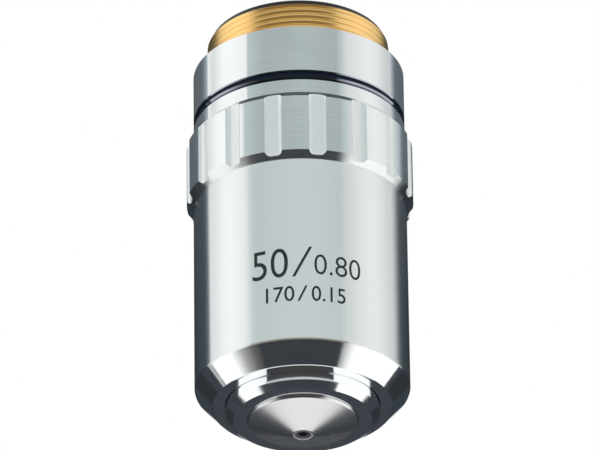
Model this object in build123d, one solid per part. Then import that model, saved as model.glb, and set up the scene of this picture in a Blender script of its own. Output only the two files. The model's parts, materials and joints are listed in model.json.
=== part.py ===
from build123d import *
from math import copysign, sqrt
import os

# A high-power microscope objective with a spring-loaded nose, in millimetres.
# It hangs as in use, with its mounting thread up and its nose down.
# +Z runs along the optical axis, and the origin lies in the plane of the mounting shoulder.

# Mounting thread, 0.8 inch by 36 threads to the inch, drawn as a cylinder over its crests
thread_radius = 10.1
thread_length = 4.4
lead_in = 0.4
lead_in_length = 0.75
relief_depth = 0.6
relief_height = 0.5
relief_sink = 0.4
relief_margin = 0.3

# Collar, colour groove and the skirt that screws into the sleeve
shoulder_width = 1.6
collar_length = 5.76
groove_height = 0.58
groove_depth = 0.5
lacquer_depth = 0.25
rim_height = 0.42
skirt_length = 5.24
skirt_step = 0.7

# Outer sleeve, from its plain band down to its front face
band_length = 1.71
band_wall = 1.3
grip_length = 8.42
grip_height = 0.75
grip_top_slope = 0.9
grip_bottom_slope = 0.76
flute_count = 16
flute_width = 2.08
flute_depth = 0.42
flute_corner = 0.65
flute_angle = -80.7
flute_overrun = 0.5
barrel_length = 22.22
barrel_wall = 2.0
taper_length = 2.19
taper_depth = 1.95
lip_thickness = 2.1
skirt_end_gap = 0.2

# Sliding carriage, whose front end is the nose
nose_travel = 2.5
nose_length = 0.98
nose_bevel = 0.81
nose_bevel_length = 0.6
stop_width = 1.33
shim_thickness = 0.2
flange_height = 3.0
spring_room = 1.8
cell_bore_radius = 6.9
tube_wall = 1.0
tube_clearance = 0.3
tube_rim = 2.6
back_stop_width = 0.6
back_stop_gap = 0.05
cone_ledge = 0.85
cone_end_gap = 0.6

# Nose cone and the two lenses in it, whose curves are multiples of their rim radius
cone_spigot_length = 3.68
cone_rim_height = 0.3
cone_rim_bevel = 0.15
cone_height = 1.54
cone_wall = 1.4
tip_radius = 1.25
tip_thickness = 0.14
tip_land = 0.14
front_aperture = 0.5
front_lens_radius = 1.0
front_lens_edge = 0.57
front_lens_curve_ratio = 1.05
meniscus_seat = 1.16
meniscus_radius = 2.8
meniscus_edge = 1.22
meniscus_curve_ratios = (2.15, 1.2)
meniscus_ledge = 0.5
retainer_width = 0.4
retainer_height = 0.95

# Lens cells: wall round the glass, height of the seat, width of the seat and room over the glass
first_cell_wall = 2.27
second_cell_wall = 1.7
second_cell_float = 0.37
rear_cell_wall = 2.6
cell_seat_height = 1.7
cell_seat_width = 0.4
cell_headroom = 0.35

# Cemented pairs: curves as multiples of the rim radius, positive where the centre lies above
first_curve_ratios = (2.0, -2.0, -4.4)
second_curve_ratios = (2.9, -1.8, -3.8)
rear_curve_ratios = (2.2, -11.0, 1.8)
crown_edge = 0.7
flint_edge = 2.1

# Rings and tubes that space and hold the cells
spacer_wall = 1.3
first_spacer_length = 2.2
second_spacer_length = 5.6
stop_thickness = 0.5
stop_aperture = 3.3
ring_height = 1.6
ring_wall = 1.9
spanner_slot_width = 1.2
spanner_slot_depth = 0.8

# Guide pin in the flange, its keyway in the sleeve, and the centring screws
pin_radius = 0.6
pin_depth = 1.3
pin_slot_width = 0.25
pin_slot_depth = 0.3
keyway_depth = 0.8
keyway_clearance = 0.05
keyway_end_gap = 0.3
pin_end_gap = 0.15
screw_radius = 0.6
screw_count = 3
screw_angle = 30
screw_recess = 0.15

# Return spring
spring_turns = 5
wire_radius = 0.4
wire_sides = 12
spring_clearance = 0.55

# Fits
edge_break = 0.12
slide_clearance = 0.05
seam_gap = 0.05
fit_gap = 0.03

# Radii that follow, from the bore of the lens tube outwards
cell_radius = cell_bore_radius - fit_gap
cone_bore_radius = cell_bore_radius - cone_ledge
cone_radius = cone_bore_radius - seam_gap
tube_radius = cell_bore_radius + tube_wall
mount_bore_radius = tube_radius + tube_clearance
port_radius = tube_radius - back_stop_width
spring_radius = tube_radius + spring_clearance + wire_radius
flange_radius = tube_radius + spring_room
nose_radius = flange_radius - stop_width
lip_bore_radius = nose_radius + slide_clearance
sleeve_bore_radius = flange_radius + slide_clearance
barrel_radius = sleeve_bore_radius + barrel_wall
grip_radius = barrel_radius + grip_height
skirt_radius = flange_radius + skirt_step
thread_bore_radius = skirt_radius + fit_gap
band_radius = skirt_radius + band_wall
shoulder_radius = thread_radius + shoulder_width
pin_end_radius = sleeve_bore_radius + keyway_depth - pin_end_gap

# Heights that follow, from the shoulder down to the tip
z_collar = -collar_length
z_rim = z_collar - groove_height
z_sleeve = z_rim - rim_height
z_skirt = z_sleeve - skirt_length
z_grip_top = z_sleeve - band_length
z_grip_bottom = z_grip_top - grip_length
z_taper = z_grip_bottom - barrel_length
z_face = z_taper - taper_length
z_lip = z_face + lip_thickness
z_stop = z_lip + shim_thickness
z_flange = z_stop + flange_height
z_pin = (z_stop + z_flange) / 2
z_nose_edge = z_face - nose_length
z_nose = z_nose_edge - nose_bevel_length
z_spigot = z_nose + cone_spigot_length
z_ledge = z_spigot + cone_end_gap
z_cone_rim = z_nose - cone_rim_height
z_tip = z_cone_rim - cone_height
z_front_seat = z_tip + tip_thickness
z_meniscus = z_front_seat + meniscus_seat


# Shapes that every piece is made of


def turned(*outline):
    """A solid turned about the axis from a closed outline of (radius, height) corners."""
    corners = [(radius, 0, height) for radius, height in outline]
    return revolve(make_face(Polyline(*corners, close=True)), Axis.Z)


def tube(inner, outer, bottom, top):
    """A plain ring or tube with square ends."""
    return turned((inner, bottom), (outer, bottom), (outer, top), (inner, top))


def radial_rod(radius, start, end, height, angle=90):
    """A rod along a radius of the objective, at a height and an angle about the axis."""
    lying = Plane(origin=(start, 0, height), z_dir=(1, 0, 0))
    rod = Cylinder(radius, end - start, align=(Align.CENTER, Align.CENTER, Align.MIN))
    return Rot(0, 0, angle) * (lying * rod)


def slotted_rod(radius, start, end, height, angle=90):
    """A radial rod with a screwdriver slot in its outer end."""
    slot = Pos(end, 0, height) * Box(2 * pin_slot_depth, 2 * radius, pin_slot_width)
    return radial_rod(radius, start, end, height, angle) - Rot(0, 0, angle) * slot


def sag(curve, radius):
    """Height from the pole of a spherical surface to its rim, negative where the centre lies below."""
    return curve - copysign(sqrt(curve**2 - radius**2), curve)


def lens_surface(rim_radius, rim_height, curve):
    """Half the outline of a spherical surface, from its pole to its rim."""
    pole = rim_height - sag(curve, rim_radius)
    middle = rim_radius / 2
    return ThreePointArc(
        (0, 0, pole),
        (middle, 0, pole + sag(curve, middle)),
        (rim_radius, 0, rim_height),
    )


def lens(rim_radius, lower_rim, lower_curve, upper_rim, upper_curve):
    """A round lens given by its rim heights. A lower curve of None is a flat face."""
    upper = lens_surface(rim_radius, upper_rim, upper_curve)
    edge = Line((rim_radius, 0, lower_rim), (rim_radius, 0, upper_rim))
    if lower_curve is None:
        lower = Line((0, 0, lower_rim), (rim_radius, 0, lower_rim))
    else:
        lower = lens_surface(rim_radius, lower_rim, lower_curve)
    axis = Line(lower @ 0, upper @ 0)
    return revolve(make_face([axis, lower, edge, upper]), Axis.Z)


def lens_group(bottom, outer_radius, wall, curve_ratios):
    """A cemented pair in its cell, resting on the cell's seat. Gives the solids and the cell's top."""
    rim = outer_radius - wall
    aperture = rim - cell_seat_width
    seat = bottom + cell_seat_height
    low, cemented, high = [ratio * rim for ratio in curve_ratios]
    crown_rim = seat + fit_gap + sag(low, rim) - sag(low, aperture)
    cemented_rim = crown_rim + crown_edge
    flint_rim = cemented_rim + flint_edge
    crown = lens(rim, crown_rim, low, cemented_rim, cemented)
    flint = lens(rim, cemented_rim, cemented, flint_rim, high)
    top = max(flint_rim, flint_rim - sag(high, rim)) + cell_headroom
    cell = turned(
        (aperture, bottom),
        (outer_radius, bottom),
        (outer_radius, top),
        (rim + fit_gap, top),
        (rim + fit_gap, seat),
        (aperture, seat),
    )
    return cell, crown, flint, top


# Pieces that stay with the microscope


def make_mount_body(back_stop):
    """Turned brass: mounting thread, shoulder collar, and the skirt that carries the sleeve.

    The collar's side runs from the colour groove up to the edge of the shoulder. Under the groove a
    rim with a 45 degree bevel seats on the sleeve. The bore narrows at the back stop, which ends the
    carriage's travel.
    """
    groove_radius = band_radius - groove_depth
    relief_radius = thread_radius - relief_depth
    recess_radius = thread_radius + relief_margin
    return turned(
        (mount_bore_radius, z_skirt),
        (skirt_radius, z_skirt),
        (skirt_radius, z_sleeve),
        (band_radius - rim_height, z_sleeve),
        (band_radius, z_rim),
        (groove_radius, z_rim),
        (groove_radius, z_collar),
        (band_radius - edge_break, z_collar),
        (band_radius, z_collar + edge_break),
        (shoulder_radius, -edge_break),
        (shoulder_radius - edge_break, 0),
        (recess_radius, 0),
        (recess_radius, -relief_sink),
        (relief_radius, -relief_sink),
        (relief_radius, relief_height),
        (thread_radius, relief_height),
        (thread_radius, thread_length - lead_in_length),
        (thread_radius - lead_in, thread_length),
        (port_radius + edge_break, thread_length),
        (port_radius, thread_length - edge_break),
        (port_radius, back_stop),
        (mount_bore_radius, back_stop),
    )


def make_colour_ring():
    """The lacquer in the groove near the foot of the collar."""
    groove_radius = band_radius - groove_depth
    return tube(groove_radius + fit_gap, band_radius - lacquer_depth, z_rim, z_collar)


def make_outer_sleeve():
    """One turned piece: band, fluted grip, barrel, taper and the lip that stops the carriage."""
    z_thread_end = z_skirt - skirt_end_gap
    face_radius = barrel_radius - taper_depth
    blank = turned(
        (thread_bore_radius, z_sleeve),
        (band_radius - edge_break, z_sleeve),
        (band_radius, z_sleeve - edge_break),
        (band_radius, z_grip_top),
        (grip_radius, z_grip_top - grip_top_slope),
        (grip_radius, z_grip_bottom + grip_bottom_slope),
        (barrel_radius, z_grip_bottom),
        (barrel_radius, z_taper + edge_break),
        (barrel_radius - edge_break / 2, z_taper - edge_break / 2),
        (face_radius + edge_break / 4, z_face + edge_break / 4),
        (face_radius - edge_break / 2, z_face),
        (lip_bore_radius + edge_break, z_face),
        (lip_bore_radius, z_face + edge_break),
        (lip_bore_radius, z_lip),
        (sleeve_bore_radius, z_lip),
        (sleeve_bore_radius, z_thread_end),
        (thread_bore_radius, z_thread_end),
    )
    cutter_section = RectangleRounded(flute_width, flute_width, flute_corner)
    cutter_place = grip_radius - flute_depth + flute_width / 2
    cutter = extrude(cutter_section, grip_length + 2 * flute_overrun)
    flutes = PolarLocations(cutter_place, flute_count, flute_angle) * cutter
    z_cut = z_grip_bottom - flute_overrun
    z_key_bottom = z_pin - pin_radius - keyway_end_gap
    keyway_width = 2 * (pin_radius + keyway_clearance)
    keyway = Pos(0, lip_bore_radius, z_key_bottom) * Box(
        keyway_width,
        sleeve_bore_radius + keyway_depth - lip_bore_radius,
        z_thread_end - z_key_bottom,
        align=(Align.CENTER, Align.MIN, Align.MIN),
    )
    return blank - [Pos(0, 0, z_cut) * flute for flute in flutes] - keyway


def make_stop_shim():
    """The washer on the sleeve's lip whose thickness sets where the nose rests."""
    return tube(lip_bore_radius, flange_radius, z_lip, z_stop)


def make_return_spring():
    """A coil spring with its ends ground flat, between the skirt and the flange.

    The wire's round section is drawn with many flat sides, which keeps the swept surface light.
    """
    free_height = z_skirt - z_flange
    path = Pos(0, 0, z_flange) * Helix(free_height / spring_turns, free_height, spring_radius)
    section = RegularPolygon(wire_radius, wire_sides)
    coil = sweep((path ^ 0) * section, path, is_frenet=True)
    reach = spring_radius + 2 * wire_radius
    between_seats = Cylinder(reach, free_height, align=(Align.CENTER, Align.CENTER, Align.MIN))
    return coil & Pos(0, 0, z_flange) * between_seats


# Pieces that slide with the nose


def make_nose_cone():
    """The cone at the front, with the seats of its two lenses."""
    front_bore = front_lens_radius + fit_gap
    z_front_bore = z_front_seat + front_lens_edge
    meniscus_bore = meniscus_radius + fit_gap
    meniscus_mouth = meniscus_radius - meniscus_ledge
    z_retainer_top = retainer_bottom() + retainer_height + cell_headroom
    return turned(
        (front_aperture, z_front_seat),
        (tip_radius - tip_land, z_tip),
        (tip_radius, z_tip),
        (cone_radius - cone_rim_bevel, z_cone_rim),
        (cone_radius, z_cone_rim + cone_rim_bevel),
        (cone_radius, z_spigot),
        (cone_radius - cone_wall, z_spigot),
        (meniscus_bore, z_retainer_top),
        (meniscus_bore, z_meniscus),
        (meniscus_mouth, z_meniscus),
        (front_bore, z_front_bore),
        (front_bore, z_front_seat),
    )


def make_front_lens():
    """The thick front lens, flat towards the slide."""
    top_rim = z_front_seat + front_lens_edge
    curve = front_lens_curve_ratio * front_lens_radius
    return lens(front_lens_radius, z_front_seat, None, top_rim, -curve)


def make_meniscus_lens():
    """The second lens, hollow towards the slide."""
    top_rim = z_meniscus + meniscus_edge
    lower, upper = [ratio * meniscus_radius for ratio in meniscus_curve_ratios]
    return lens(meniscus_radius, z_meniscus, -lower, top_rim, -upper)


def retainer_bottom():
    """Height at which the retainer's inner edge meets the rounded back of the meniscus."""
    inner = meniscus_radius - retainer_width
    curve = meniscus_curve_ratios[1] * meniscus_radius
    drop = sag(curve, meniscus_radius) - sag(curve, inner)
    return z_meniscus + meniscus_edge + drop + fit_gap


def make_meniscus_retainer():
    """The ring that holds the second lens on its seat."""
    inner = meniscus_radius - retainer_width
    bottom = retainer_bottom()
    return tube(inner, meniscus_radius, bottom, bottom + retainer_height)


def make_retaining_ring(bottom):
    """The screwed ring behind the lens stack, with two slots for a pin spanner."""
    ring = tube(cell_bore_radius - ring_wall, cell_radius, bottom, bottom + ring_height)
    slots = Pos(0, 0, bottom + ring_height) * Box(
        2 * cell_bore_radius, spanner_slot_width, 2 * spanner_slot_depth
    )
    return ring - slots


def make_centring_screws(height):
    """The grub screws through the tube wall that push the second cell true."""
    start = cell_radius - second_cell_float + fit_gap
    end = tube_radius - screw_recess
    turn = 360 / screw_count
    angles = [screw_angle + turn * step for step in range(screw_count)]
    return Compound([slotted_rod(screw_radius, start, end, height, angle) for angle in angles])


def make_lens_carriage(top, screw_height):
    """The sliding inner barrel: bevelled nose, stop flange and the tube that holds the cells."""
    blank = turned(
        (cone_bore_radius, z_nose),
        (nose_radius - nose_bevel, z_nose),
        (nose_radius, z_nose_edge),
        (nose_radius, z_stop),
        (flange_radius, z_stop),
        (flange_radius, z_flange),
        (tube_radius, z_flange),
        (tube_radius, top),
        (cell_bore_radius, top),
        (cell_bore_radius, z_ledge),
        (cone_bore_radius, z_ledge),
    )
    pin_hole = radial_rod(
        pin_radius + fit_gap, flange_radius - pin_depth, pin_end_radius, z_pin
    )
    turn = 360 / screw_count
    screw_holes = [
        radial_rod(
            screw_radius + fit_gap,
            cell_bore_radius - tube_wall / 2,
            tube_radius + tube_wall,
            screw_height,
            screw_angle + turn * step,
        )
        for step in range(screw_count)
    ]
    return blank - pin_hole - screw_holes


# The lens stack, built up from the carriage's ledge
first_cell, first_crown, first_flint, z_first = lens_group(
    z_ledge, cell_radius, first_cell_wall, first_curve_ratios
)
z_second_bottom = z_first + first_spacer_length
second_cell, second_crown, second_flint, z_second = lens_group(
    z_second_bottom, cell_radius - second_cell_float, second_cell_wall, second_curve_ratios
)
z_rear_bottom = z_second + second_spacer_length
rear_cell, rear_crown, rear_flint, z_rear = lens_group(
    z_rear_bottom, cell_radius, rear_cell_wall, rear_curve_ratios
)
z_ring = z_rear + stop_thickness
z_tube_top = z_ring + ring_height + tube_rim
z_back_stop = z_tube_top + nose_travel + back_stop_gap
z_screws = (z_second_bottom + z_second) / 2
spacer_bore = cell_radius - spacer_wall

pieces = {
    "mount_body": make_mount_body(z_back_stop),
    "colour_ring": make_colour_ring(),
    "outer_sleeve": make_outer_sleeve(),
    "stop_shim": make_stop_shim(),
    "return_spring": make_return_spring(),
    "lens_carriage": make_lens_carriage(z_tube_top, z_screws),
    "guide_pin": slotted_rod(
        pin_radius, flange_radius - pin_depth + fit_gap, pin_end_radius, z_pin
    ),
    "nose_cone": make_nose_cone(),
    "front_lens": make_front_lens(),
    "meniscus_lens": make_meniscus_lens(),
    "meniscus_retainer": make_meniscus_retainer(),
    "first_cell": first_cell,
    "first_crown": first_crown,
    "first_flint": first_flint,
    "first_spacer": tube(spacer_bore, cell_radius, z_first, z_second_bottom),
    "second_cell": second_cell,
    "second_crown": second_crown,
    "second_flint": second_flint,
    "centring_screws": make_centring_screws(z_screws),
    "second_spacer": tube(spacer_bore, cell_radius, z_second, z_rear_bottom),
    "rear_cell": rear_cell,
    "rear_crown": rear_crown,
    "rear_flint": rear_flint,
    "aperture_stop": tube(stop_aperture, cell_radius, z_rear, z_ring),
    "retaining_ring": make_retaining_ring(z_ring),
}

os.makedirs("parts", exist_ok=True)
for name, solid in pieces.items():
    export_step(solid, f"parts/{name}.step")
print(f"tip at {z_tip:.2f}, back of the lens tube at {z_tube_top:.2f}, back stop at {z_back_stop:.2f}")
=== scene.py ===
# %% [markdown]
# # A microscope objective with a spring-loaded nose
# This lesson dresses the solid model of a high-power microscope objective. The solids are right in
# size and place, so most of them stay as they are and only get a finish. Three things are modelled
# here: the mount with its fine screw thread, the coil spring, and the numbers on the barrel.
# Everything is in metres, with the screw thread up and the nose down.

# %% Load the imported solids
import json
import math

import bmesh
import bpy
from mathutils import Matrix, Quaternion, Vector


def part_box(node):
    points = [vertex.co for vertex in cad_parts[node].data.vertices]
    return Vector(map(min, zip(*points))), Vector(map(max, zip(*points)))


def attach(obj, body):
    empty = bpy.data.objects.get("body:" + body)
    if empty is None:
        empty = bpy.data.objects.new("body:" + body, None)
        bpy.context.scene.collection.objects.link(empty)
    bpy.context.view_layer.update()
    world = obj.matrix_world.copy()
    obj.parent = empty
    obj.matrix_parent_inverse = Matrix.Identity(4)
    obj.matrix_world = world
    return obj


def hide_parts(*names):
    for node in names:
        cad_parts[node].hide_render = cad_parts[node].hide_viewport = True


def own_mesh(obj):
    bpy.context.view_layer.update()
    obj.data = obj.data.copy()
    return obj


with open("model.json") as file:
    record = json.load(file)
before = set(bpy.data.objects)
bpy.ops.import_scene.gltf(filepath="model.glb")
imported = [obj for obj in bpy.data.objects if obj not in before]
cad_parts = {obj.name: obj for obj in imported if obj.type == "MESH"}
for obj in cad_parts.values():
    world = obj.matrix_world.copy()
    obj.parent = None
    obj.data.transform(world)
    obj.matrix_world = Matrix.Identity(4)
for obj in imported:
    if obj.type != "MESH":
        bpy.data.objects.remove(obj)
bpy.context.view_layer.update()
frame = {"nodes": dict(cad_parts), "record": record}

mm = 0.001

# %% [markdown]
# ## Shader sums in plain Python
# A finish is mostly arithmetic: a radius from two coordinates, a mask between two heights, a little
# noise added to a roughness. Written as nodes by hand, each sum is several lines. So one small class
# wraps a socket, and Python's own operators add the Math nodes. All other nodes come from one method,
# which sets a node's settings first and then fills its sockets with values or links.

# %% A wrapped socket and the sheet of nodes it belongs to
class Signal:
    """One output socket. Sums on it add Math nodes to the same node tree."""

    def __init__(self, sheet, socket):
        self.sheet = sheet
        self.socket = socket

    def other(self, name):
        """Another output of the same node."""
        return Signal(self.sheet, self.socket.node.outputs[name])

    def __add__(self, value):
        return self.sheet.sums("ADD", self, value)

    def __sub__(self, value):
        return self.sheet.sums("SUBTRACT", self, value)

    def __rsub__(self, value):
        return self.sheet.sums("SUBTRACT", value, self)

    def __mul__(self, value):
        return self.sheet.sums("MULTIPLY", self, value)

    def __truediv__(self, value):
        return self.sheet.sums("DIVIDE", self, value)

    def __pow__(self, value):
        return self.sheet.sums("POWER", self, value)


class Sheet:
    """A node tree that is filled by code."""

    def __init__(self, tree):
        self.tree = tree

    def node(self, kind, settings=None, sockets=None, output=0):
        """Add one node. Settings come first, then the sockets get values or links."""
        made = self.tree.nodes.new(kind)
        for name, value in (settings or {}).items():
            setattr(made, name, value)
        for name, value in (sockets or {}).items():
            if isinstance(value, Signal):
                self.tree.links.new(value.socket, made.inputs[name])
            else:
                made.inputs[name].default_value = value
        return Signal(self, made.outputs[output]) if made.outputs else None

    def sums(self, operation, first, second):
        """A Math node on two values."""
        return self.node("ShaderNodeMath", {"operation": operation}, {0: first, 1: second})

    def rises(self, value, start, end):
        """0 below start, 1 above end, with a smooth step between. Start may lie above end."""
        settings = {"interpolation_type": "SMOOTHSTEP"}
        sockets = {"Value": value, "From Min": start, "From Max": end}
        return self.node("ShaderNodeMapRange", settings, sockets)

    def blend(self, factor, first, second):
        """A colour between two colours."""
        settings = {"data_type": "RGBA"}
        sockets = {0: factor, 6: first, 7: second}
        return self.node("ShaderNodeMix", settings, sockets, output=2)

    def ramp(self, value, stops):
        """A colour that runs through (place, colour) stops."""
        made = self.node("ShaderNodeValToRGB", sockets={"Fac": value})
        marks = made.socket.node.color_ramp.elements
        while len(marks) < len(stops):
            marks.new(1.0)
        for mark, (place, colour) in zip(marks, stops):
            mark.position = place
            mark.color = colour
        return made


print("shader tools ready")

# %% [markdown]
# ## A finish
# Every finish starts from one Principled shader. What is the same all over is set on its sockets.
# What changes reads the Object coordinates, because every piece sits at the origin with its place in
# its mesh. On a turned part the useful coordinates are the radius from the axis and the height, here
# in millimetres. A lathe leaves fine rings, so the ring marks are a noise with one input only, a sum
# of radius and height: on a cylinder it runs along the height and on a flat face along the radius.
# Four short methods give masks that start at a height or a radius.

# %% The finish class
class Finish(Sheet):
    """A procedural material that knows the radius and the height of a turned part."""

    def __init__(self, name, **constants):
        self.material = bpy.data.materials.new(name)
        self.material.use_nodes = True
        super().__init__(self.material.node_tree)
        self.shader = self.tree.nodes["Principled BSDF"]
        for socket, value in constants.items():
            self.shader.inputs[socket.replace("_", " ")].default_value = value
        self.place = self.node("ShaderNodeTexCoord", output="Object")
        x = self.node("ShaderNodeSeparateXYZ", sockets={"Vector": self.place})
        y = x.other("Y")
        self.radius = (x * x + y * y) ** 0.5 / mm
        self.height = x.other("Z") / mm

    def above(self, level, softness):
        """A mask that starts at a height and is full this far above it."""
        return self.rises(self.height, level, level + softness)

    def below(self, level, softness):
        """A mask that starts at a height and is full this far below it."""
        return self.rises(self.height, level, level - softness)

    def inside(self, radius, softness):
        """A mask that starts at a radius and is full this far inside it."""
        return self.rises(self.radius, radius, radius - softness)

    def outside(self, radius, softness):
        """A mask that starts at a radius and is full this far outside it."""
        return self.rises(self.radius, radius, radius + softness)

    def noise(self, size, detail=2.0):
        """Cloudy variation with patches of about this size in millimetres."""
        sockets = {"Vector": self.place, "Scale": 1 / (size * mm), "Detail": detail}
        return self.node("ShaderNodeTexNoise", sockets=sockets)

    def rings(self, pitch, detail=2.0):
        """Fine turning marks, about this far apart in millimetres."""
        along = (self.radius * 1.7 + self.height) / pitch
        settings = {"noise_dimensions": "1D"}
        return self.node("ShaderNodeTexNoise", settings, {"W": along, "Scale": 1.0, "Detail": detail})

    def feed(self, **signals):
        """Link what changes over the surface to the shader."""
        for name, signal in signals.items():
            self.tree.links.new(signal.socket, self.shader.inputs[name.replace("_", " ")])

    def relief(self, height, depth):
        """Turn a height from 0 to 1 into bumps of this depth in millimetres."""
        sockets = {"Strength": 1.0, "Distance": depth * mm, "Height": height}
        self.feed(Normal=self.node("ShaderNodeBump", sockets=sockets))

    def cover(self, factor, colour, **constants):
        """Lay a second shader over the first one where the factor is 1."""
        sockets = {name.replace("_", " "): value for name, value in constants.items()}
        second = self.node("ShaderNodeBsdfPrincipled", sockets={"Base Color": colour, **sockets})
        first = Signal(self, self.shader.outputs["BSDF"])
        both = self.node("ShaderNodeMixShader", sockets={0: factor, 1: first, 2: second})
        self.tree.links.new(both.socket, self.tree.nodes["Material Output"].inputs["Surface"])


print("finish class ready")

# %% [markdown]
# ## Chrome plate, polished and satin
# The body is plated brass. The collar, the grip and the nose are polished, so they reflect sharply.
# The barrel is satin: fine marks run round it, so reflections keep sharp upright edges but are smeared
# up and down. That is what the Anisotropic value of the shader does. It is the same all over, and a
# mask of the height raises the roughness where the metal is satin. The milled flutes are an even satin
# instead, so a mask lays a second shader over them. The pale ground ring at the tip of the nose is laid
# over its cone in the same way, with the dish inside it painted near black as painted shade.

# %% Plated metal
def plated(name, dark, light, smoothest, mark_depth, anisotropic=1.0, cloud_size=6.0):
    """Polished plate with faint turning marks."""
    finish = Finish(name, Metallic=1.0, Anisotropic=anisotropic, Anisotropic_Rotation=0.25)
    finish.clouds = finish.noise(cloud_size)
    marks = finish.rings(mark_pitch)
    finish.colour = finish.blend(finish.clouds * 0.4 + marks * 0.6, dark, light)
    finish.sheen = finish.clouds * 0.05 + marks * 0.05 + smoothest
    finish.feed(Base_Color=finish.colour, Roughness=finish.sheen)
    finish.relief(finish.rings(scratch_pitch, 3.0), mark_depth)
    return finish


def sleeve_plate():
    """Polished plate, satin on the barrel, milled in the flutes and painted lighter at the front, a painted
    highlight.
    """
    finish = plated("sleeve_plate", plate_dark, plate_light, polish, 0.0003)
    # Painted highlight: below the top of the taper the plate colour is lighter.
    front = finish.below(taper_top, 0.1)
    barrel = finish.below(grip_bottom + 0.1, 0.1) * (1 - front)
    slope = finish.above(grip_bottom, 0.05) * finish.below(grip_bottom + lower_slope, 0.05)
    over = finish.sums("MAXIMUM", finish.height - (grip_top - upper_slope), 0)
    under = finish.sums("MAXIMUM", (grip_bottom + lower_slope) - finish.height, 0)
    land_radius = grip_radius - over * upper_lean - under * lower_lean
    grip = finish.above(grip_bottom, 0.02) * finish.below(grip_top, 0.02)
    flutes = grip * finish.rises(land_radius - finish.radius, 0.02, 0.06)
    finish.feed(Base_Color=finish.blend(front, finish.colour, (0.90, 0.92, 0.92, 1)))
    finish.feed(Roughness=finish.sheen + barrel * 0.14 + slope * 0.12)
    milled = finish.blend(finish.noise(1.0), (0.78, 0.81, 0.81, 1), (0.86, 0.88, 0.88, 1))
    finish.cover(flutes, milled, Metallic=1.0, Roughness=0.46)
    return finish


def nose_cone_plate():
    """Fine-turned plate with a pale ground ring round the tip and painted shade on the dish inside it."""
    finish = plated("cone_plate", (0.70, 0.70, 0.70, 1), (0.80, 0.80, 0.80, 1), 0.19, 0.0004, 0.0)
    tip = finish.below(cone_low + 0.2, 0.05)
    ring = tip * finish.inside(ring_radius + 0.04, 0.04)
    # Painted shade: the dish inside the ring is painted near black where it would reflect the light below.
    dish = tip * finish.inside(ring_radius - ring_width, 0.04)
    ground = finish.blend(dish, (0.40, 0.41, 0.43, 1), (0.080, 0.070, 0.080, 1))
    finish.cover(ring, ground, Metallic=0.0, Roughness=0.5)
    return finish


mark_pitch = 0.28
scratch_pitch = 0.12
polish = 0.03
plate_dark = (0.73, 0.76, 0.76, 1)
plate_light = (0.81, 0.84, 0.84, 1)
grip_top = -8.47
grip_bottom = -16.89
grip_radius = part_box("outer_sleeve")[1].x / mm
band_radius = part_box("mount_body")[1].x / mm
barrel_radius = 11.75
upper_slope = 0.9
upper_lean = (grip_radius - band_radius) / upper_slope
lower_slope = 0.76
lower_lean = (grip_radius - barrel_radius) / lower_slope
taper_top = -39.11
cone_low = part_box("nose_cone")[0].z / mm
ring_radius = 1.06
ring_width = 0.14
satin_plate = sleeve_plate()
bright_plate = plated("bright_plate", (0.86, 0.88, 0.89, 1), (0.95, 0.96, 0.97, 1), polish, 0.0004)
cone_plate = nose_cone_plate()
print("plated finishes:", satin_plate.material.name, bright_plate.material.name, cone_plate.material.name)

# %% [markdown]
# ## Lacquer, blackened metal, steel, paint and glass
# The colour groove is filled with a deep blue lacquer, nearly black in the shade of the collar.
# Cells and spacers inside are blackened against stray light. The spring and the screws are steel.
# The lenses carry a thin coating, which gives a violet cast.

# %% The other finishes
def lacquered():
    """Deep blue lacquer."""
    finish = Finish("blue_lacquer", Metallic=0.0, Specular_IOR_Level=0.1)
    clouds = finish.noise(1.5)
    finish.feed(Base_Color=finish.blend(clouds, (0.003, 0.008, 0.024, 1), (0.005, 0.014, 0.040, 1)))
    finish.feed(Roughness=clouds * 0.1 + 0.25)
    return finish


def blackened():
    """Dull black on turned brass."""
    finish = Finish("blackened_brass", Metallic=0.0)
    clouds = finish.noise(0.8)
    marks = finish.rings(0.2)
    finish.feed(Base_Color=finish.blend(clouds, (0.012, 0.012, 0.011, 1), (0.03, 0.029, 0.027, 1)))
    finish.feed(Roughness=marks * 0.15 + 0.5)
    finish.relief(marks, 0.002)
    return finish


def bright_steel():
    """Plain bright steel, for wire, pins and screws."""
    finish = Finish("bright_steel", Metallic=1.0)
    clouds = finish.noise(0.7)
    finish.feed(Base_Color=finish.blend(clouds, (0.5, 0.5, 0.51, 1), (0.64, 0.64, 0.65, 1)))
    finish.feed(Roughness=clouds * 0.15 + 0.2)
    return finish


def number_paint():
    """Dark paint with a fine grain."""
    finish = Finish("number_paint", Metallic=0.0, Specular_IOR_Level=0.15)
    grains = finish.noise(0.15)
    finish.feed(Base_Color=finish.blend(grains, (0.020, 0.026, 0.028, 1), (0.040, 0.048, 0.052, 1)))
    finish.feed(Roughness=grains * 0.2 + 0.4)
    return finish


def coated_glass():
    """Clear glass with a violet cast."""
    finish = Finish("coated_glass", Metallic=0.0, IOR=1.62, Transmission_Weight=1.0, Roughness=0.0)
    clouds = finish.noise(2.0)
    finish.feed(Base_Color=finish.blend(clouds, (0.80, 0.76, 0.90, 1), (0.86, 0.84, 0.95, 1)))
    return finish


blue_lacquer = lacquered()
black_metal = blackened()
steel = bright_steel()
paint = number_paint()
glass = coated_glass()
print("five more finishes ready")

# %% [markdown]
# ## Modelling as on a lathe
# A turned piece is an outline spun about the axis. The outline starts as a single point, a tiny plane
# merged to its centre, and each further corner is extruded from the last one. Closing it and spinning
# it gives the solid. The seam is merged and the normals are set outwards afterwards.

# %% Outline and spin
def deselect():
    """Leave edit mode and select nothing."""
    if bpy.context.object and bpy.context.object.mode != "OBJECT":
        bpy.ops.object.mode_set(mode="OBJECT")
    bpy.ops.object.select_all(action="DESELECT")


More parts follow.
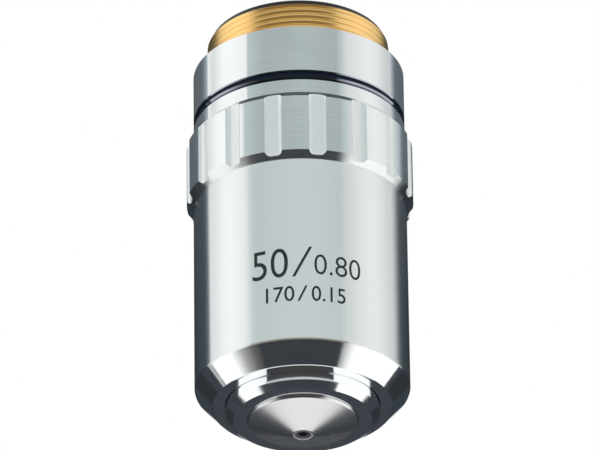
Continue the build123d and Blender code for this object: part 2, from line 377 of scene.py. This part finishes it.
def draw_outline(name, corners):
    """A closed outline of (radius, height) corners in millimetres, left in edit mode."""
    points = [Vector((radius * mm, 0, height * mm)) for radius, height in corners]
    deselect()
    bpy.ops.mesh.primitive_plane_add(size=0.1 * mm, location=points[0])
    piece = bpy.context.object
    piece.name = name
    bpy.ops.object.transform_apply(location=True)
    bpy.ops.object.mode_set(mode="EDIT")
    bpy.ops.mesh.merge(type="CENTER")
    for last, following in zip(points, points[1:]):
        bpy.ops.mesh.extrude_region_move(TRANSFORM_OT_translate={"value": following - last})
    outline = bmesh.from_edit_mesh(piece.data)
    outline.verts.ensure_lookup_table()
    outline.verts[0].select = True
    bmesh.update_edit_mesh(piece.data)
    bpy.ops.mesh.edge_face_add()
    bpy.ops.mesh.select_all(action="SELECT")
    return piece


def spin_round(steps):
    """Spin the outline that is being edited once round the axis and close the seam."""
    bpy.ops.mesh.spin(steps=steps, angle=math.tau, center=(0, 0, 0), axis=(0, 0, 1))
    bpy.ops.mesh.select_all(action="SELECT")
    bpy.ops.mesh.remove_doubles(threshold=0.0001 * mm)
    bpy.ops.mesh.normals_make_consistent(inside=False)
    bpy.ops.object.mode_set(mode="OBJECT")


def apply_modifier(piece, kind, **settings):
    """Add a modifier, set it and apply it."""
    deselect()
    piece.select_set(True)
    bpy.context.view_layer.objects.active = piece
    modifier = piece.modifiers.new(kind.title(), kind)
    for name, value in settings.items():
        setattr(modifier, name, value)
    bpy.ops.object.modifier_apply(modifier=modifier.name)


def smooth(piece, degrees):
    """Shade smooth, but keep edges sharper than this angle."""
    deselect()
    piece.select_set(True)
    bpy.context.view_layer.objects.active = piece
    bpy.ops.object.shade_smooth_by_angle(angle=math.radians(degrees))


def dress(piece, finish):
    """Give a piece one finish."""
    piece.data.materials.clear()
    piece.data.materials.append(finish.material)


print("lathe tools ready")

# %% [markdown]
# ## The mount and its thread
# The mount is one piece of turned brass: the screw thread, the collar whose upper face is the
# shoulder, and a hidden skirt inside the sleeve. The solid has a plain cylinder where the thread is.
# Here the same outline is spun, and a thread is cut as on a lathe: the section of a small tool is
# swept along a helix with the Screw modifier and taken away with a Boolean. The thread is the standard
# one with 36 threads to the inch. Its crests are worn, so the tool is a flat wedge that cuts less deep
# than a new thread would be. Where the cut meets old edges it leaves slivers, which are merged.

# %% Sizes of the mount, in millimetres
mount_low, mount_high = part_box("mount_body")
ring_low, ring_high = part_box("colour_ring")
thread_mount = [mount for mount in frame["record"]["mounts"] if mount["name"] == "mounting_thread"][0]
thread_radius = thread_mount["dims"]["r_mm"]
relief_depth = 0.6
relief_height = 0.5
relief_sink = 0.4
relief_margin = 0.3
lead_in = 0.4
groove_depth = 0.5
edge_break = 0.12
relief_radius = thread_radius - relief_depth
recess_radius = thread_radius + relief_margin
thread_bottom = relief_height
thread_top = thread_bottom + thread_mount["dims"]["length_mm"]
end_top = mount_high.z / mm
skirt_bottom = mount_low.z / mm
collar_radius = mount_high.x / mm
collar_bottom = ring_high.z / mm
rim_top = ring_low.z / mm
rim_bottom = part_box("outer_sleeve")[1].z / mm
rim_height = rim_top - rim_bottom
groove_radius = collar_radius - groove_depth
skirt_radius = 10.4
skirt_bore = 8.2
port_radius = 7.3
back_stop = -7.19
print("thread from", thread_bottom, "to", thread_top, "collar radius", round(collar_radius, 3))

# %% Turn the blank
round_steps = 192
mount = draw_outline(
    "threaded_mount",
    [
        (skirt_bore, skirt_bottom),
        (skirt_radius, skirt_bottom),
        (skirt_radius, rim_bottom),
        (collar_radius - rim_height, rim_bottom),
        (collar_radius, rim_top),
        (groove_radius, rim_top),
        (groove_radius, collar_bottom),
        (collar_radius - edge_break, collar_bottom),
        (collar_radius, collar_bottom + edge_break),
        (collar_radius, -edge_break),
        (collar_radius - edge_break, 0),
        (recess_radius, 0),
        (recess_radius, -relief_sink),
        (relief_radius, -relief_sink),
        (relief_radius, thread_bottom),
        (thread_radius, thread_bottom),
        (thread_radius, thread_top),
        (thread_radius - lead_in, end_top),
        (port_radius + edge_break, end_top),
        (port_radius, end_top - edge_break),
        (port_radius, back_stop),
        (skirt_bore, back_stop),
    ],
)
spin_round(round_steps)
print("blank:", len(mount.data.polygons), "faces")

# %% Cut the thread
inch = 25.4
threads_per_inch = 36
pitch = inch / threads_per_inch
cut_start = 0.05
cut_turns = 7
cut_depth = 0.135
root_half_width = 0.01
crest_half_width = 0.28
overcut = 0.1
overcut_half_width = 0.345
half_section = [(-cut_depth, root_half_width), (0, crest_half_width), (overcut, overcut_half_width)]
sliver = 0.004 * mm
speck = 0.002 * mm
upper_half = [(thread_radius + out, cut_start + up) for out, up in half_section]
lower_half = [(thread_radius + out, cut_start - up) for out, up in half_section]
tool = draw_outline("thread_tool", lower_half + upper_half[::-1])
bpy.ops.object.mode_set(mode="OBJECT")
apply_modifier(
    tool,
    "SCREW",
    angle=math.tau,
    screw_offset=pitch * mm,
    iterations=cut_turns,
    steps=round_steps,
    render_steps=round_steps,
)
bpy.ops.object.mode_set(mode="EDIT")
bpy.ops.mesh.select_all(action="SELECT")
bpy.ops.mesh.fill_holes(sides=2 * len(half_section))
bpy.ops.mesh.normals_make_consistent(inside=False)
bpy.ops.object.mode_set(mode="OBJECT")
apply_modifier(mount, "BOOLEAN", operation="DIFFERENCE", object=tool, solver="EXACT")
bpy.data.objects.remove(tool)
bpy.ops.object.mode_set(mode="EDIT")
bpy.ops.mesh.select_all(action="SELECT")
bpy.ops.mesh.remove_doubles(threshold=sliver)
bpy.ops.mesh.dissolve_degenerate(threshold=speck)
bpy.ops.object.mode_set(mode="OBJECT")
smooth(mount, 25)
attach(mount, "barrel")
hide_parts("mount_body")
print("threaded mount:", len(mount.data.polygons), "faces")

# %% [markdown]
# ## Brass, plate and black on one piece
# The mount was plated with the rest of the body, but its thread and the face of its shoulder stay bare
# brass, its bore is blackened and its end is near black. One material does it all: it starts from the
# plate, and masks made from radius and height choose between the three. The brass is an even satin, so
# it is laid over the rest as a second shader. The foot of the collar and the rim under the groove get
# darker plate, a painted shade, and a near black line of painted shadow lies at the seam below that rim.

# %% The mount's finish
def mount_brass():
    """Plate on the collar, bare brass on the thread and the shoulder, black in the bore and on the end."""
    finish = plated("mount_brass", plate_dark, plate_light, polish, 0.0003, cloud_size=5.0)
    collar = finish.outside(recess_radius + 0.05, 0.05) * finish.below(-0.01, 0.04)
    bore = finish.inside(skirt_bore + 0.3, 0.2)
    end = finish.above(thread_top - 0.05, 0.2)
    black = bore + end - bore * end
    # Painted shade: the foot of the collar and the rim below the groove get darker plate.
    foot_shade = finish.below(collar_bottom + edge_break + 0.02, 0.04)
    rim_shade = finish.below(rim_top + 0.05, 0.05)
    # Painted shadow: a near black line on the rim where it meets the sleeve.
    seam = finish.below(rim_bottom + 0.3, 0.1)
    plate = finish.blend(foot_shade, finish.colour, (0.40, 0.43, 0.48, 1))
    plate = finish.blend(rim_shade, plate, (0.33, 0.36, 0.41, 1))
    plate = finish.blend(seam, plate, (0.06, 0.07, 0.10, 1))
    brass = finish.blend(finish.clouds, (0.93, 0.60, 0.22, 1), (0.98, 0.68, 0.29, 1))
    metal = finish.blend(collar, brass, plate)
    finish.feed(Base_Color=finish.blend(black, metal, (0.02, 0.02, 0.018, 1)))
    finish.feed(Metallic=1 - black, Roughness=finish.sheen + black * 0.36)
    finish.cover((1 - collar) * (1 - black), brass, Metallic=1.0, Roughness=0.28)
    return finish


dress(mount, mount_brass())
print("mount dressed")

# %% [markdown]
# ## The return spring
# A coil of steel wire pushes the nose out. The solid is a rigid coil at its rest length. This one is a
# circle swept along a helix, its ends ground flat by a bisecting plane.

# %% Coil the spring
spring_low, spring_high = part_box("return_spring")
spring_top = skirt_bottom * mm
wire_radius = 0.4 * mm
spring_radius = spring_high.x - wire_radius
spring_bottom = spring_low.z
coil_turns = 5
coil_steps = 64
wire_sides = 14
print("spring from", spring_bottom, "to", spring_top, "mean radius", spring_radius)
deselect()
bpy.ops.mesh.primitive_circle_add(
    vertices=wire_sides,
    radius=wire_radius,
    location=(spring_radius, 0, spring_bottom),
    rotation=(math.pi / 2, 0, 0),
)
spring = bpy.context.object
spring.name = "coil_spring"
bpy.ops.object.transform_apply(location=True, rotation=True)
apply_modifier(
    spring,
    "SCREW",
    angle=math.tau,
    screw_offset=(spring_top - spring_bottom) / coil_turns,
    iterations=coil_turns,
    steps=coil_steps,
    render_steps=coil_steps,
)
bpy.ops.object.mode_set(mode="EDIT")
bpy.ops.mesh.select_all(action="SELECT")
bpy.ops.mesh.fill_holes(sides=wire_sides)
for seat, side in ((spring_bottom, -1), (spring_top, 1)):
    bpy.ops.mesh.select_all(action="SELECT")
    bpy.ops.mesh.bisect(plane_co=(0, 0, seat), plane_no=(0, 0, side), clear_outer=True, use_fill=True)
bpy.ops.mesh.select_all(action="SELECT")
bpy.ops.mesh.normals_make_consistent(inside=False)
bpy.ops.object.mode_set(mode="OBJECT")
smooth(spring, 40)
dress(spring, steel)
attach(spring, "barrel")
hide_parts("return_spring")
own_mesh(spring)

# %% [markdown]
# ## Numbers on the barrel
# Objectives carry plain numbers for magnification and aperture, engraved and filled with dark paint.
# Each line starts as flat text, becomes a thin mesh at its real size, and is sliced into narrow strips
# so that it can bend. A Simple Deform modifier wraps it round the barrel, a hair proud of the plate.

# %% Engrave the numbers
bend_radius = barrel_radius * mm
proud = 0.015 * mm
strip = 0.2 * mm


def engrave(name, digits, tall, left, right, baseline, stroke):
    """Digits on the barrel between two places round it, in millimetres from the front."""
    width = (right - left) * mm
    deselect()
    bpy.ops.object.text_add()
    line = bpy.context.object
    line.name = name
    line.data.body = digits
    line.data.resolution_u = 6
    line.data.offset = stroke
    bpy.ops.object.convert(target="MESH")
    line = bpy.context.object
    low = Vector(line.bound_box[0])
    high = Vector(line.bound_box[6])
    line.data.transform(line.matrix_world)
    bpy.ops.object.mode_set(mode="EDIT")
    bpy.ops.mesh.select_all(action="SELECT")
    bpy.ops.transform.translate(value=(-(low.x + high.x) / 2, -low.y, 0))
    bpy.ops.transform.resize(
        value=(width / (high.x - low.x), tall * mm / (high.y - low.y), 1),
        center_override=(0, 0, 0),
    )
    bpy.ops.mesh.extrude_region_move(TRANSFORM_OT_translate={"value": (0, 0, 2 * proud)})
    bpy.ops.mesh.select_all(action="SELECT")
    bpy.ops.mesh.remove_doubles(threshold=0.001 * mm)
    bpy.ops.mesh.normals_make_consistent(inside=False)
    cuts = int(width / strip)
    for step in range(1, cuts):
        bpy.ops.mesh.select_all(action="SELECT")
        place = width * (step / cuts - 0.5)
        bpy.ops.mesh.bisect(plane_co=(place, 0, 0), plane_no=(1, 0, 0))
    bpy.ops.object.mode_set(mode="OBJECT")
    line.rotation_euler = (math.pi / 2, 0, 0)
    bpy.ops.object.transform_apply(rotation=True)
    apply_modifier(
        line,
        "SIMPLE_DEFORM",
        deform_method="BEND",
        deform_axis="Z",
        angle=width / bend_radius,
    )
    line.location = (0, -bend_radius + proud, baseline * mm)
    bpy.ops.object.transform_apply(location=True)
    line.rotation_euler = (0, 0, (left + right) / 2 * mm / bend_radius)
    bpy.ops.object.transform_apply(rotation=True)
    smooth(line, 30)
    dress(line, paint)
    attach(line, "barrel")
    print(name, "has", len(line.data.polygons), "faces")


upper_line = -31.5
small_digits = -31.2
lower_line = -34.5
engrave("magnification_number", "50", 3.55, -5.43, -1.40, upper_line, -0.004)
engrave("magnification_slash", "/", 3.65, -0.96, 1.24, upper_line, -0.018)
engrave("aperture_number", "0.80", 2.45, 1.46, 6.77, small_digits, -0.008)
engrave("tube_number", "170", 1.85, -3.88, -0.74, lower_line, 0.003)
engrave("tube_slash", "/", 1.85, -0.41, 0.69, lower_line, -0.008)
engrave("cover_number", "0.15", 1.85, 1.13, 4.90, lower_line, 0.003)

# %% [markdown]
# ## Finishes for the solids that stay
# The sleeve, the nose and everything inside keep their solids. Each gets the finish of the real piece.

# %% Dress the solids
finishes = {
    "outer_sleeve": satin_plate,
    "lens_carriage": bright_plate,
    "nose_cone": cone_plate,
    "colour_ring": blue_lacquer,
    "stop_shim": steel,
    "guide_pin": steel,
    "centring_screws": steel,
}
for name, solid in frame["nodes"].items():
    if name.endswith(("_lens", "_crown", "_flint")):
        dress(solid, glass)
    elif name in finishes:
        dress(solid, finishes[name])
    else:
        dress(solid, black_metal)
print("dressed", len(frame["nodes"]), "solids")

# %% [markdown]
# ## The studio
# Bright metal shows little of itself and much of the room. The picture has a soft box on each side, with
# lower parts that show in the nose and the taper, a pale screen in front above the camera with a curved
# grey band across it, darkness behind, and a white card under the nose. A brown card low in front tones
# the thread, and two graded cards behind soften the dark edges of the collar. Each is a plain glowing card
# that the camera doesn't see but reflections do. The world is white to the camera, and the floor is plain
# and pale. Places and sizes of the cards are in metres.

# %% Cards, floor and world
def glowing(name, colour, strength, profile, along):
    """A material that gives off light, with a brightness that may change along one side of the card."""
    material = bpy.data.materials.new(name)
    material.use_nodes = True
    sheet = Sheet(material.node_tree)
    material.node_tree.nodes.clear()
    place = sheet.node("ShaderNodeTexCoord", output="Generated")
    share = sheet.node("ShaderNodeSeparateXYZ", sockets={"Vector": place}, output=along)
    red, green, blue = colour
    stops = [(spot, (red * shade, green * shade, blue * shade, 1)) for spot, shade in profile]
    tone = sheet.ramp(share, stops)
    glow = sheet.node("ShaderNodeEmission", sockets={"Color": tone, "Strength": strength})
    sheet.node("ShaderNodeOutputMaterial", sockets={"Surface": glow})
    return material


def hide_from_camera(panel):
    """Leave a card in reflections only."""
    panel.visible_camera = False
    panel.visible_diffuse = False
    panel.visible_shadow = False


turns_to_face = {"x": (0, math.pi / 2, 0), "y": (math.pi / 2, 0, 0), "z": (0, 0, 0)}
even = ((0, 1), (1, 1))


def card(name, facing, offset, first, second, colour, strength=1.0, profile=even):
    """A card square to one axis, given by its ranges along the other two."""
    middle = [(first[0] + first[1]) / 2, (second[0] + second[1]) / 2]
    sizes = [first[1] - first[0], second[1] - second[0]]
    middle.insert("xyz".index(facing), offset)
    if facing == "x":
        sizes.reverse()
    deselect()
    bpy.ops.mesh.primitive_plane_add(size=1, location=middle, rotation=turns_to_face[facing])
    panel = bpy.context.object
    panel.name = name
    panel.scale = (sizes[0], sizes[1], 1)
    panel.data.materials.append(glowing(name, colour, strength, profile, "Y"))
    hide_from_camera(panel)


def curved_card(name, radius, left, right, low, high, colour, strength, profile):
    """A card bent round the object, from one bearing to another in degrees from the front."""
    deselect()
    bpy.ops.mesh.primitive_cylinder_add(
        vertices=180,
        radius=radius,
        depth=high - low,
        end_fill_type="NOTHING",
        location=(0, 0, (low + high) / 2),
    )
    panel = bpy.context.object
    panel.name = name
    bpy.ops.object.mode_set(mode="EDIT")
    for bearing, side in ((left, -1), (right, 1)):
        turn = math.radians(bearing)
        across = (side * math.cos(turn), side * math.sin(turn), 0)
        bpy.ops.mesh.select_all(action="SELECT")
        bpy.ops.mesh.bisect(plane_co=(0, 0, 0), plane_no=across, clear_outer=True)
    bpy.ops.object.mode_set(mode="OBJECT")
    panel.data.materials.append(glowing(name, colour, strength, profile, "X"))
    hide_from_camera(panel)


white = (1, 1, 1)
pale_grey = (0.93, 1.0, 1.0)
back_dark = (0.040, 0.050, 0.060)
low_dark = (0.03, 0.034, 0.04)
edge_blue = (0.77, 0.885, 1.0)
left_fall = ((0, 0.90), (0.45, 1.0), (0.65, 0.97), (0.88, 0.77), (1, 0.70))
right_fall = ((0, 0.73), (0.08, 0.82), (0.2, 0.87), (0.5, 1.0), (0.64, 0.93), (0.81, 0.75), (1, 0.65))
left_floor_fall = ((0, 0.05), (0.18, 0.12), (0.34, 0.31), (0.47, 0.73), (0.6, 0.92), (0.75, 1.0))
right_floor_fall = ((0, 0.25), (0.18, 0.75), (0.3, 1.0))
left_edge_fall = ((0, 0.8), (0.067, 0.5), (0.1, 0.37), (0.133, 0.3), (0.17, 0.25), (0.3, 0.23), (1, 0.15))
right_edge_fall = ((0, 0.15), (0.7, 0.24), (0.83, 0.27), (0.867, 0.37), (0.9, 0.48), (0.933, 0.7), (1, 1.0))
front_fall = (
    (0, 0.81),
    (0.1, 0.66),
    (0.16, 0.6),
    (0.4, 0.62),
    (0.58, 0.66),
    (0.77, 0.62),
    (0.91, 0.6),
    (1, 1),
)

card("left_soft_box", "x", -0.40, (-0.255, 0.15), (-0.10, 0.45), white, 1.20, left_fall)
card("left_low_box", "x", -0.36, (-0.26, 0.135), (-0.30, -0.10), white, 1.20)
card("left_floor_box", "x", -0.36, (-0.26, 0.22), (-0.58, -0.30), white, 1.20, left_floor_fall)
card("right_soft_box", "x", 0.30, (-0.25, 0.175), (-0.10, 0.38), white, 1.05, right_fall)
card("right_low_box", "x", 0.29, (-0.265, 0.16), (-0.225, -0.10), white, 1.22)
card("right_nose_box", "x", 0.29, (-0.265, 0.195), (-0.30, -0.225), white, 1.22)
card("right_floor_box", "x", 0.29, (-0.22, 0.195), (-0.58, -0.30), white, 1.22, right_floor_fall)
card("front_screen", "y", -0.62, (-1.10, 0.84), (0.0, 1.2), pale_grey, 1.06)
curved_card("front_grey", 0.60, -62, 55, 0.25, 0.44, (0.46, 0.51, 0.51), 1.7, front_fall)
card("front_flag", "y", -0.64, (-1.15, 0.86), (-0.59, 0.0), (0.05, 0.05, 0.055))
card("warm_card", "y", -0.63, (-1.1, 0.86), (-0.30, -0.10), (0.30, 0.225, 0.13))
card("floor_flag", "z", -0.59, (-1.15, 1.0), (-0.64, 1.0), (0.044, 0.049, 0.058))
card("nose_card", "z", -0.58, (-0.24, 0.30), (0.05, 0.48), white, 1.08)
card("left_back_flag", "y", 0.60, (-1.8, -0.10), (-0.04, 0.70), back_dark)
card("right_back_flag", "y", 0.60, (0.10, 1.8), (-0.04, 0.70), back_dark)
card("left_dark_flag", "y", 0.60, (-1.8, -0.12), (-0.30, -0.04), low_dark)
card("right_dark_flag", "y", 0.60, (0.12, 1.8), (-0.30, -0.04), low_dark)
curved_card("left_edge_card", 0.58, -175, -118, 0.30, 0.36, edge_blue, 0.80, left_edge_fall)
curved_card("right_edge_card", 0.58, 118, 175, 0.30, 0.36, edge_blue, 0.80, right_edge_fall)
card("low_back_flag", "y", 0.61, (-1.8, 1.8), (-0.585, -0.19), (0.050, 0.056, 0.068))
card("middle_back_flag", "y", 0.61, (-0.12, 0.12), (-0.19, 0.16), (0.085, 0.09, 0.10))
card("back_screen", "y", 0.66, (-0.32, 0.32), (0.16, 0.8), (0.5, 0.52, 0.52))
card("top_flag", "z", 0.90, (-0.80, 0.80), (-0.60, 0.15), (0.10, 0.12, 0.13))

deselect()
bpy.ops.mesh.primitive_plane_add(size=8, location=(0, 0, -0.6))
floor = bpy.context.object
floor.name = "floor"
dress(floor, Finish("floor_paint", Base_Color=(0.86, 0.86, 0.86, 1), Roughness=0.8))

world = bpy.data.worlds.new("studio")
bpy.context.scene.world = world
world.use_nodes = True
room = Sheet(world.node_tree)
camera_ray = room.node("ShaderNodeLightPath", output="Is Camera Ray")
seen = camera_ray + camera_ray.other("Is Glossy Ray") + camera_ray.other("Is Transmission Ray")
ambient = 0.7
background = world.node_tree.nodes["Background"]
background.inputs["Color"].default_value = (*white, 1)
world.node_tree.links.new(room.sums("MAXIMUM", seen, ambient).socket, background.inputs["Strength"])
bpy.context.scene.view_settings.view_transform = "Standard"
print("studio ready")

# %% [markdown]
# ## The camera
# The picture looks up at the nose from about 29 degrees below, from far away with a long lens. The
# camera leans by less than a degree.

# %% Place the camera
photo_width = 600
focal_pixels = 7167
elevation = math.radians(-29.18)
distance = 0.789
lean = 0.01302
aim = Vector((-0.00004, -0.0002, -0.01873))
forward = Vector((0, math.cos(elevation), -math.sin(elevation)))
lens_data = bpy.data.cameras.new("camera")
lens_data.sensor_width = 36
lens_data.lens = focal_pixels / photo_width * lens_data.sensor_width
camera = bpy.data.objects.new("camera", lens_data)
bpy.context.scene.collection.objects.link(camera)
camera.rotation_mode = "QUATERNION"
level = forward.to_track_quat("-Z", "Y")
camera.rotation_quaternion = level @ Quaternion((0, 0, 1), -lean)
camera.location = aim - forward * distance
bpy.context.scene.camera = camera
print("camera at", camera.location)
